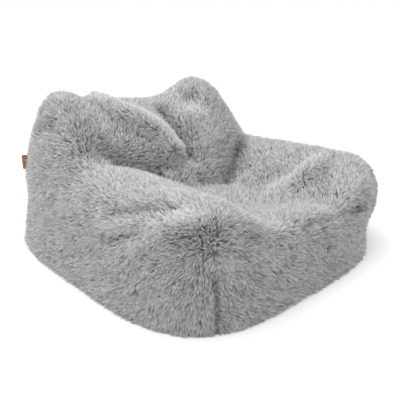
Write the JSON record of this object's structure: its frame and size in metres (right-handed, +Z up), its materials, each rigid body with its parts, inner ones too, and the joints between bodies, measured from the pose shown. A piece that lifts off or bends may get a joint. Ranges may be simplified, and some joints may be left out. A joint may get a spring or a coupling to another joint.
{
  "type": "bean bag chair",
  "caption": "Low bean bag armchair in grey long-pile cloth, with a seat hollow between soft arm rolls and an eared backrest, a zipped cover and a zipped bead liner.",
  "frame": {"origin": "on the floor, under the middle of the bag's box", "axes": "+Z up; -Y is the open front of the seat; +Y towards the backrest; +X towards the sitter's left arm seen from the front"},
  "size_m": [0.9096, 0.9682, 0.4798],
  "materials": {
    "pile_cloth": "long soft pile, grey",
    "base_cloth": "plain woven, dark grey",
    "liner_cloth": "plain thin weave, off-white",
    "beads": "expanded foam beads, white",
    "zip_tape": "herringbone tape, dark grey",
    "zip_teeth": "moulded, dark grey",
    "zip_metal": "tumbled nickel",
    "tag_leather": "smooth brown leather",
    "tag_thread": "waxed thread, tan"
  },
  "bodies": {
    "bag": {"front_gusset": "pile_cloth", "left_gusset": "pile_cloth", "right_gusset": "pile_cloth", "back_gusset": "pile_cloth", "seat_panel": "pile_cloth", "left_arm_panel": "pile_cloth", "right_arm_panel": "pile_cloth", "backrest_panel": "pile_cloth", "base_panel": "base_cloth", "liner_bag": "liner_cloth", "bead_fill": "beads", "side_tag": "tag_leather", "tag_stitches": "tag_thread", "cover_zip_upper_tape": "zip_tape", "cover_zip_lower_tape": "zip_tape", "cover_zip_upper_teeth": "zip_teeth", "cover_zip_lower_teeth": "zip_teeth", "cover_zip_end_stops": "zip_metal", "liner_zip_upper_tape": "zip_tape", "liner_zip_lower_tape": "zip_tape", "liner_zip_upper_teeth": "zip_teeth", "liner_zip_lower_teeth": "zip_teeth", "liner_zip_end_stops": "zip_metal"},
    "cover_slider": {"cover_zip_slider": "zip_metal"},
    "cover_pull": {"cover_zip_pull": "zip_metal"},
    "liner_slider": {"liner_zip_slider": "zip_metal"}
  },
  "joints": [
    {"name": "cover_zip_slide", "type": "slide", "parent": "bag", "child": "cover_slider", "axis": [1, 0, 0], "range_m": [0, 0.38]},
    {"name": "cover_pull_hinge", "type": "hinge", "parent": "cover_slider", "child": "cover_pull", "pos_m": [-0.19, 0.4612, 0.06], "axis": [0, 0, -1], "range_deg": [0, 180]},
    {"name": "liner_zip_slide", "type": "slide", "parent": "bag", "child": "liner_slider", "axis": [1, 0, 0], "range_m": [0, 0.38]}
  ]
}
